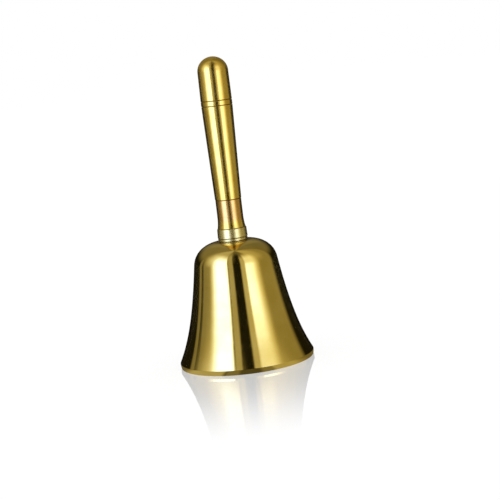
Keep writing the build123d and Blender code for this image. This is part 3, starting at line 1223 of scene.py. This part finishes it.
@dataclass
class Clapper:
    """The wire link, the eyed rod that hangs in it, and the ball with its jam nut."""

    link_wire: float = 0.9 * MM
    wire: float = 1.5 * MM
    wire_pitch: float = 0.5 * MM
    wire_tip: float = 1.1 * MM
    eye_radius: float = 3.5 * MM
    eye_start: float = -52.0
    eye_end: float = 222.0
    neck_drop: float = 3.4 * MM
    thread_show: float = 4.0 * MM
    ball_radius: float = 8.5 * MM
    ball_height: float = 13.0 * MM
    ball_hole: float = 1.54 * MM
    ball_hole_depth: float = 12.0 * MM
    flat_easing: float = 0.25 * MM
    jam_nut_across_flats: float = 5.5 * MM
    neck_pull: float = 0.42        # how far the neck bend holds the eye's heading, as a share of its drop
    foot_pull: float = 1.3         # how much longer it holds the straight rod's
    eye_rows: int = 72
    bend_rows: int = 12
    straight_rows: int = 12
    link_rows: int = 160
    link_facets: int = 40
    butt_depth: float = 0.10       # depth of the line where the link's ends meet, as a share of the wire
    butt_width: float = 0.10 * MM
    butt_gather: float = 1.6       # how closely the rows gather at that line; 1 spaces them evenly

    def build_link(self) -> Object:
        """Makes the closed wire ring, with the fine line where its ends are brazed.

        Returns:
            The link.
        """
        bottom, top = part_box("clapper_link")
        middle = (bottom + top) / 2
        radius = (top.z - bottom.z) / 2 - self.link_wire
        around = facets(self.link_facets)
        turns = np.linspace(-math.pi, math.pi, self.link_rows, endpoint=False)
        turns = np.sign(turns) * np.abs(turns / math.pi) ** self.butt_gather * math.pi
        rows = []
        for turn in turns:
            dip = self.butt_depth * math.exp(-(turn * radius / self.butt_width) ** 2)
            size = self.link_wire * (1 - dip)
            reach = radius + size * np.cos(around)
            rows.append(np.stack([size * np.sin(around), middle.y + reach * math.cos(turn),
                                  middle.z + reach * math.sin(turn)], axis=1))
        return skin("clapper_link_visual", [(np.array(rows), True)])

    def eye_path(self) -> list[Vector]:
        """Follows the wire from the straight rod through its neck bend and round the eye.

        Returns:
            Points on the wire's middle line.
        """
        top = top_of("clapper_rod") - self.wire
        centre = top - self.eye_radius
        eye = []
        for turn in np.linspace(self.eye_start, self.eye_end, self.eye_rows + 1):
            across, height = polar((0.0, centre), self.eye_radius, turn)
            eye.append(Vector((across, 0, height)))
        join = eye[0]
        start = math.radians(self.eye_start)
        heading = Vector((-math.sin(start), 0, math.cos(start)))
        foot = Vector((0, 0, join.z - self.neck_drop))
        pull = self.neck_pull * self.neck_drop
        after_foot = foot + Vector((0, 0, pull * self.foot_pull))
        before_join = join - heading * pull
        bend = []
        for share in np.linspace(0, 1, self.bend_rows + 1)[:-1]:
            rest = 1 - share
            bend.append(foot * rest ** 3 + after_foot * 3 * rest ** 2 * share
                        + before_join * 3 * rest * share ** 2 + join * share ** 3)
        return bend + eye

    def build_rod(self) -> Object:
        """Makes the clapper's wire: threaded foot, straight rod, neck bend and eye, as one skin.

        Returns:
            The rod.
        """
        eye = wire_rows(self.eye_path(), Vector((0, 1, 0)), self.wire, SMALL_SEGMENTS)
        eye = eye[TIP_ROWS:]
        bend = eye[0][:, 2].mean()
        foot = bottom_of("clapper_rod")
        thread_end = top_of("clapper_jam_nut") + self.thread_show
        threaded = threaded_rows(self.wire, self.wire_pitch, foot, thread_end, self.wire_tip)
        heights = np.linspace(thread_end, bend, self.straight_rows + 2)[1:-1]
        straight = spun_rows([(self.wire, height) for height in heights], SMALL_SEGMENTS)
        rows = np.concatenate([threaded, straight, self.align(eye, straight[-1])])
        return skin("clapper_rod_visual", [(rows, False)], sharp_degrees=CUT_SHARP)

    @staticmethod
    def align(rows: Loops, last: np.ndarray) -> Loops:
        """Starts each row of a tube at the same side as the row that it joins.

        Args:
            rows: the tube's rows.
            last: the row below.

        Returns:
            The rows, turned and if need be reversed to match.
        """
        flipped = rows[:, ::-1]
        best = None
        for choice in (rows, flipped):
            for shift in range(len(last)):
                gap = np.abs(np.roll(choice[0], shift, axis=0)[:, :2] - last[:, :2]).sum()
                if best is None or gap < best[0]:
                    best = (gap, choice, shift)
        return np.roll(best[1], best[2], axis=1)

    def build_ball(self) -> Object:
        """Makes the turned ball with its spot face and tapped hole.

        Returns:
            The ball.
        """
        flat = top_of("clapper_ball")
        lift = flat - self.ball_height
        end = math.degrees(math.asin(lift / self.ball_radius))
        shell = arc((0, self.ball_height), self.ball_radius, -90, end, 48)
        edge = Corner(shell[-1].radius, shell[-1].height, self.flat_easing)
        corners = [
            Corner(0, bottom_of("clapper_ball")),
            *shell[1:-1],
            edge,
            Corner(self.ball_hole, flat, self.flat_easing),
            Corner(self.ball_hole, flat - self.ball_hole_depth),
            Corner(0, flat - self.ball_hole_depth),
        ]
        return spin("clapper_ball_visual", corners, ring=False, segments=SMALL_SEGMENTS * 2)

    def build_jam_nut(self) -> Object:
        """Makes the jam nut."""
        height = top_of("clapper_jam_nut") - bottom_of("clapper_jam_nut")
        rows = hex_nut_rows(self.jam_nut_across_flats, self.ball_hole, bottom_of("clapper_jam_nut"), height)
        return skin("clapper_jam_nut_visual", [(rows, True)], sharp_degrees=NUT_SHARP)

    def build_and_dress(self) -> None:
        """Makes all four pieces and gives them their finishes."""
        steel = Steel("clapper_steel", (0.76, 0.76, 0.74), (0.52, 0.52, 0.51), 0.22).material()
        brass = Brass("clapper_ball_brass", (0.84, 0.60, 0.17), (0.66, 0.43, 0.10), roughness=0.20,
                      line_pitch=0.30 * MM, line_depth=1.5e-6, haze=0.16,
                      grooves=(top_of("clapper_ball"),)).material()
        place(self.build_link(), "clapper_link", Body.LINK, Slot.STEEL, [steel])
        place(self.build_rod(), "clapper_rod", Body.CLAPPER, Slot.STEEL, [steel])
        place(self.build_jam_nut(), "clapper_jam_nut", Body.CLAPPER, Slot.STEEL, [steel])
        place(self.build_ball(), "clapper_ball", Body.CLAPPER, Slot.CLAPPER_BRASS, [brass])


# --- studio ---------------------------------------------------------------------------------------
@dataclass(frozen=True)
class Card:
    """A light in the tent, by the way it faces from the bell, with soft edges.

    Azimuth 0 is the front and +90 the right-hand side; angles are in degrees.
    """

    left: float
    right: float
    level: float
    left_fade: float = 1.5
    right_fade: float = 1.5
    top: float = 200.0
    top_fade: float = 1.0
    bottom: float = -200.0
    bottom_fade: float = 1.0
    slant: float = 0.0         # azimuth gained by both sides for each degree of elevation

    def glow(self, azimuth: np.ndarray, elevation: np.ndarray) -> np.ndarray:
        """Gives the card's level.

        Args:
            azimuth: azimuths of the points asked about.
            elevation: their elevations.

        Returns:
            The level at each.
        """
        middle = (self.left + self.right) / 2
        offset = (azimuth - self.slant * elevation - middle + 180) % 360 - 180 + middle
        rise = smooth((offset - self.left) / self.left_fade + 0.5)
        fall = smooth((self.right - offset) / self.right_fade + 0.5)
        cap = smooth((self.top - elevation) / self.top_fade + 0.5)
        foot = smooth((elevation - self.bottom) / self.bottom_fade + 0.5)
        return self.level * rise * fall * cap * foot


def smooth(value: np.ndarray) -> np.ndarray:
    """Eases 0..1 at both ends."""
    t = np.clip(value, 0, 1)
    return t * t * (3 - 2 * t)


@dataclass
class Studio:
    """White floor, a light tent that only polished metal sees, soft white surroundings and the camera."""

    cards: tuple[Card, ...] = (
        # left softbox and what it spills
        Card(-68, -22.8, 1.50, left_fade=32, right_fade=7, top=58, top_fade=46, slant=-0.09),
        Card(-94, -38, 0.84, left_fade=54, right_fade=30, top=66, top_fade=26, bottom=16, bottom_fade=50),
        Card(-108, -20, 0.46, left_fade=50, right_fade=50, bottom=30, bottom_fade=30),
        # strips beside the dark middle
        Card(-20.2, -8, 0.40, left_fade=2.6, right_fade=4, top=72, top_fade=36, slant=-0.07),
        Card(11.5, 21.5, 0.50, left_fade=5, right_fade=2, top=56, top_fade=30),
        # right softbox and what it spills
        Card(22.5, 53, 1.36, left_fade=8, right_fade=28, top=27, top_fade=30),
        Card(22, 62, 0.98, left_fade=10, right_fade=34, top=60, top_fade=36),
        Card(34, 92, 0.46, left_fade=30, right_fade=56, bottom=20, bottom_fade=44),
        # side panels
        Card(-99, -60, 0.24, left_fade=3, right_fade=10),
        Card(60, 112, 0.28, left_fade=20, right_fade=16),
        # thin panel beyond the left one, and the dim back of the room
        Card(-116, -106.5, 0.22, left_fade=6, top=34, top_fade=20),
        Card(-205, -98, 0.21, left_fade=20, right_fade=8, bottom=26, bottom_fade=24),
        Card(105, 205, 0.17, left_fade=20, right_fade=20, bottom=26, bottom_fade=24),
        Card(168, 204, 0.17, left_fade=14, right_fade=14, bottom=18, bottom_fade=16),
    )
    tent_radius: float = 0.55
    tent_low: float = -6.0
    tent_columns: int = 720
    tent_rows: int = 96        # close rows, up to the bend
    tent_bend: float = 70.0
    cap_start: float = 72.0
    cap_end: float = 89.9
    cap_rows: int = 12         # wide rows, over the top
    dark: float = 0.011
    ceiling: float = 0.15
    ceiling_start: float = 44.0
    ceiling_end: float = 66.0
    middle: Card = Card(-8, 12, 1.0, left_fade=6, right_fade=6, top=70, top_fade=30)
    blend: float = 4.0         # how sharply the brightest card wins where cards overlap
    hub: float = 0.001         # radius of the hole in the middle of the floor and of the sheet
    floor_radius: float = 12.0
    floor_columns: int = 360
    floor_rows: int = 40       # close rows, where the floor's glow changes
    floor_rows_start: float = 0.03
    floor_rows_end: float = 0.6
    sheet_radius: float = 0.5
    sheet_columns: int = 64
    floor_drop: float = 0.05 * MM
    sheet_drop: float = 0.02 * MM
    white: float = 1.02
    shade: float = 0.26        # how much of the floor's white is real light, which can be shaded
    polish: float = 0.42       # strength of the floor's reflection at the bell's foot
    polish_start: float = 0.05
    polish_end: float = 0.19
    polish_blur: float = 0.03
    even_start: float = 0.25   # from here out the floor turns to plain white
    even_end: float = 0.9
    # Painted light: to metal the floor glows, with painted shade at the bell's foot and a painted reflection of
    # the lamps further out
    painted_glow_at_foot: tuple[float, float] = (0.08, 0.27)   # painted shade that metal sees in the floor at the bell's foot: a plain level, and a share of the lamps as painted reflection
    painted_glow_further_out: tuple[float, float] = (0.03, 0.62)    # the same painted glow further out, mostly a painted reflection of the lamps
    glow_start: float = 0.07
    glow_reach: float = 0.20
    glow_elevation: float = 6.0
    brightest_glow: float = 1.3
    painted_dark_behind: Card = Card(112, 248, 0.85, left_fade=26, right_fade=26)   # where the floor's painted glow is held back: painted shade behind the bell
    room_in_metal: float = 0.04
    lens: float = 99.68
    distance: float = 0.8129
    camera_height: float = 0.17436
    pitch: float = 7.623
    yaw: float = 0.648
    roll: float = 6.814

    def level(self, azimuth: np.ndarray, elevation: np.ndarray) -> np.ndarray:
        """Adds up the tent's cards, its dark gaps and its dim ceiling.

        Args:
            azimuth: azimuths, in degrees.
            elevation: elevations, in degrees.

        Returns:
            The level at each; 1 is full white.
        """
        rise = smooth((elevation - self.ceiling_start) / (self.ceiling_end - self.ceiling_start))
        ceiling = self.ceiling * rise * (1 - self.middle.glow(azimuth, elevation))
        total = self.dark ** self.blend + ceiling ** self.blend
        for card in self.cards:
            total = total + card.glow(azimuth, elevation) ** self.blend
        return total ** (1 / self.blend)

    @staticmethod
    def colour(level: np.ndarray, azimuth: np.ndarray) -> np.ndarray:
        """Gives the light's colour: lamps are cool and strong, and what they spill is dim and warm.

        Args:
            level: how bright each point is.
            azimuth: which way it lies, since the right-hand side of the room is warmer.

        Returns:
            Red, green, blue and 1 for each.
        """
        warmth = smooth(azimuth / 50) * smooth((150 - azimuth) / 50)
        green = (0.87 - 0.04 * warmth) * level + (0.21 - 0.04 * warmth) * level ** 3
        blue = (0.46 - 0.11 * warmth) * level + (0.95 - 0.30 * warmth) * level ** 3
        return np.stack([level, green, blue, np.ones_like(level)], axis=-1)

    @staticmethod
    def glowing_mesh(name: str, points: np.ndarray, colours: np.ndarray) -> Object:
        """Makes a grid that closes sideways and carries a colour at each point.

        Args:
            name: name of the mesh.
            points: the grid's points, as (rows, columns, 3).
            colours: their colours, as (rows, columns, 4).

        Returns:
            The object.
        """
        rows, across = points.shape[:2]
        index = np.arange(rows * across).reshape(rows, across)
        ahead = np.roll(index, -1, axis=1)
        faces = np.stack([index[:-1], ahead[:-1], ahead[1:], index[1:]], axis=2).reshape(-1, 4)
        mesh = bpy.data.meshes.new(name)
        mesh.from_pydata(points.reshape(-1, 3).tolist(), [], faces.tolist())
        glow = mesh.attributes.new("glow", "FLOAT_COLOR", "POINT")
        glow.data.foreach_set("color", colours.astype(np.float32).ravel())
        made = bpy.data.objects.new(name, mesh)
        bpy.context.scene.collection.objects.link(made)
        return made

    def build_tent(self) -> Object:
        """Makes the tent: a dome that glows as its cards say, seen only in reflections.

        The polished floor doesn't mirror it: a ray that has come through the clear sheet sees plain white.

        Returns:
            The tent.
        """
        azimuths = np.linspace(-180, 180, self.tent_columns + 1)[:-1]
        close = np.linspace(self.tent_low, self.tent_bend, self.tent_rows)
        elevations = np.concatenate([close, np.linspace(self.cap_start, self.cap_end, self.cap_rows)])
        azimuth, elevation = np.meshgrid(azimuths, elevations)
        sideways = np.radians(azimuth)
        upwards = np.radians(elevation)
        points = self.tent_radius * np.stack([
            np.cos(upwards) * np.sin(sideways), -np.cos(upwards) * np.cos(sideways), np.sin(upwards)], axis=2)
        tent = self.glowing_mesh("light_tent", points, self.colour(self.level(azimuth, elevation), azimuth))
        nodes = Nodes("tent_glow")
        glow = nodes.add("ShaderNodeAttribute", attribute_name="glow").outputs["Color"]
        ray = nodes.add("ShaderNodeLightPath")
        first = nodes.math("LESS_THAN", ray.outputs["Ray Depth"], 1.5)
        through_sheet = nodes.math("GREATER_THAN", ray.outputs["Transparent Depth"], 0.5)
        colour = nodes.mix(nodes.math("MULTIPLY", first, through_sheet), glow, (1.0, 1.0, 1.0))
        material = nodes.finish(nodes.add("ShaderNodeEmission", {"Color": colour, "Strength": 1.0}))
        material.cycles.emission_sampling = "NONE"
        tent.data.materials.append(material)
        tent.visible_camera = False
        tent.visible_diffuse = False
        tent.visible_transmission = False
        tent.visible_shadow = False
        return tent

    def build_floor(self) -> Object:
        """Makes the white floor, with a faint polish that dies away from the bell.

        What metal sees of it is painted light, a glow of its own: painted shade, dim at the bell's foot, and
        then a painted reflection of the lamps.

        Returns:
            The floor.
        """
        azimuths = np.linspace(-180, 180, self.floor_columns + 1)[:-1]
        close = np.linspace(self.floor_rows_start, self.floor_rows_end, self.floor_rows)
        radii = np.concatenate([[self.hub], close, [1.0, 3.0, self.floor_radius]])
        azimuth, radius = np.meshgrid(azimuths, radii)
        sideways = np.radians(azimuth)
        points = np.stack([radius * np.sin(sideways), -radius * np.cos(sideways),
                           np.full_like(radius, -self.floor_drop)], axis=2)
        # Painted reflection: the lamps' levels at a low elevation, copied onto the floor for metal to see
        lights = self.level(azimuth, np.full_like(azimuth, self.glow_elevation))
        lights = np.minimum(lights, self.brightest_glow)
        out = smooth((radius - self.glow_start) / self.glow_reach)
        at_foot = self.painted_glow_at_foot[0] + self.painted_glow_at_foot[1] * lights
        far_off = self.painted_glow_further_out[0] + self.painted_glow_further_out[1] * lights
        level = at_foot * (1 - out) + far_off * out
        # Painted shade: the floor's painted glow is darkened behind the bell
        level *= 1 - self.painted_dark_behind.glow(azimuth, 0 * azimuth)
        floor = self.glowing_mesh("floor", points, self.colour(level, azimuth))
        floor.data.materials.append(self.floor_material())
        return floor

    def build_sheet(self) -> Object:
        """Makes the clear sheet over the floor, by which the tent knows what the floor mirrors.

        Returns:
            The sheet.
        """
        edges = [(radius, -self.sheet_drop) for radius in (self.hub, self.sheet_radius)]
        rows = spun_rows(edges, self.sheet_columns)
        sheet = self.glowing_mesh("clear_sheet", rows, np.ones((*rows.shape[:2], 4)))
        nodes = Nodes("clear")
        sheet.data.materials.append(nodes.finish(nodes.add("ShaderNodeBsdfTransparent")))
        sheet.visible_shadow = False
        return sheet

    def floor_material(self) -> bpy.types.Material:
        """Writes the floor: mostly even white, a little real shade, and a soft mirror near the bell; metal sees
        a painted glow instead.

        Returns:
            The material.
        """
        nodes = Nodes("white_floor")
        spot = nodes.add("ShaderNodeTexCoord").outputs["Object"]
        away = nodes.add("ShaderNodeVectorMath", {0: spot}, operation="LENGTH").outputs["Value"]
        ray = nodes.add("ShaderNodeLightPath")
        shaded = nodes.add("ShaderNodeBsdfDiffuse", {"Color": (self.shade, self.shade, self.shade, 1)})
        even = nodes.add("ShaderNodeEmission", {"Color": (1, 1, 1, 1), "Strength": self.white - self.shade})
        paper = nodes.add("ShaderNodeAddShader", {0: shaded.outputs[0], 1: even.outputs[0]})
        plain = nodes.add("ShaderNodeEmission", {"Color": (1, 1, 1, 1), "Strength": self.white})
        far = nodes.span(away, self.even_start, self.even_end)
        paper = nodes.add("ShaderNodeMixShader", {0: far, 1: paper.outputs[0], 2: plain.outputs[0]})
        mirror = nodes.add("ShaderNodeBsdfGlossy", {"Color": (1, 1, 1, 1), "Roughness": self.polish_blur})
        share = nodes.span(away, self.polish_start, self.polish_end, self.polish, 0.0)
        seen = nodes.add("ShaderNodeMixShader", {0: share, 1: paper.outputs[0], 2: mirror.outputs[0]})
        # Glossy rays see the floor's painted glow: painted shade at the bell's foot and a painted reflection of
        # the lamps
        glow = nodes.add("ShaderNodeAttribute", attribute_name="glow").outputs["Color"]
        painted_glow_for_metal = nodes.add("ShaderNodeEmission", {"Color": glow, "Strength": 1.0})
        both = nodes.add("ShaderNodeMixShader", {0: ray.outputs["Is Glossy Ray"], 1: seen.outputs[0],
                                                 2: painted_glow_for_metal.outputs[0]})
        return nodes.finish(both)

    def build_surroundings(self) -> None:
        """White for the eye and for matt things, dark for metal, which sees the tent instead."""
        world = bpy.data.worlds.new("white_room")
        world.use_nodes = True
        tree = world.node_tree
        tree.nodes.clear()
        output = tree.nodes.new("ShaderNodeOutputWorld")
        background = tree.nodes.new("ShaderNodeBackground")
        ray = tree.nodes.new("ShaderNodeLightPath")
        background.inputs["Color"].default_value = (1, 1, 1, 1)
        level = tree.nodes.new("ShaderNodeMapRange")
        level.inputs[3].default_value = 1.0
        level.inputs[4].default_value = self.room_in_metal
        tree.links.new(ray.outputs["Is Glossy Ray"], level.inputs[0])
        tree.links.new(level.outputs[0], background.inputs["Strength"])
        tree.links.new(background.outputs[0], output.inputs["Surface"])
        bpy.context.scene.world = world
        bpy.context.scene.view_settings.view_transform = "Standard"

    def build_camera(self) -> Object:
        """Sets the camera in front of the bell, looking a little down, rolled so that the bell leans left.

        Returns:
            The camera.
        """
        data = bpy.data.cameras.new("camera")
        data.lens = self.lens
        data.clip_start = 0.01
        data.clip_end = 50.0
        camera = bpy.data.objects.new("camera", data)
        aim = Matrix.Rotation(math.radians(-self.yaw), 4, "Z")
        tilt = Matrix.Rotation(math.radians(90 - self.pitch), 4, "X")
        lean = Matrix.Rotation(math.radians(-self.roll), 4, "Z")
        camera.matrix_world = Matrix.Translation((0, -self.distance, self.camera_height)) @ aim @ tilt @ lean
        bpy.context.scene.collection.objects.link(camera)
        bpy.context.scene.camera = camera
        return camera

    def build(self) -> None:
        """Makes the whole studio."""
        self.build_camera()
        self.build_surroundings()
        self.build_floor()
        self.build_sheet()
        self.build_tent()


def main() -> None:
    """Builds the studio and every piece, in order."""
    logging.basicConfig(level=logging.INFO, format="%(name)s: %(message)s")
    Studio().build()
    bell = Bell()
    bell.dress(bell.build())
    handle = Handle()
    handle.dress(handle.build_rings(), handle.build_ferrule(), handle.build_cap())
    CrownClamp().build_and_dress()
    Clapper().build_and_dress()


if __name__ == "__main__":
    main()
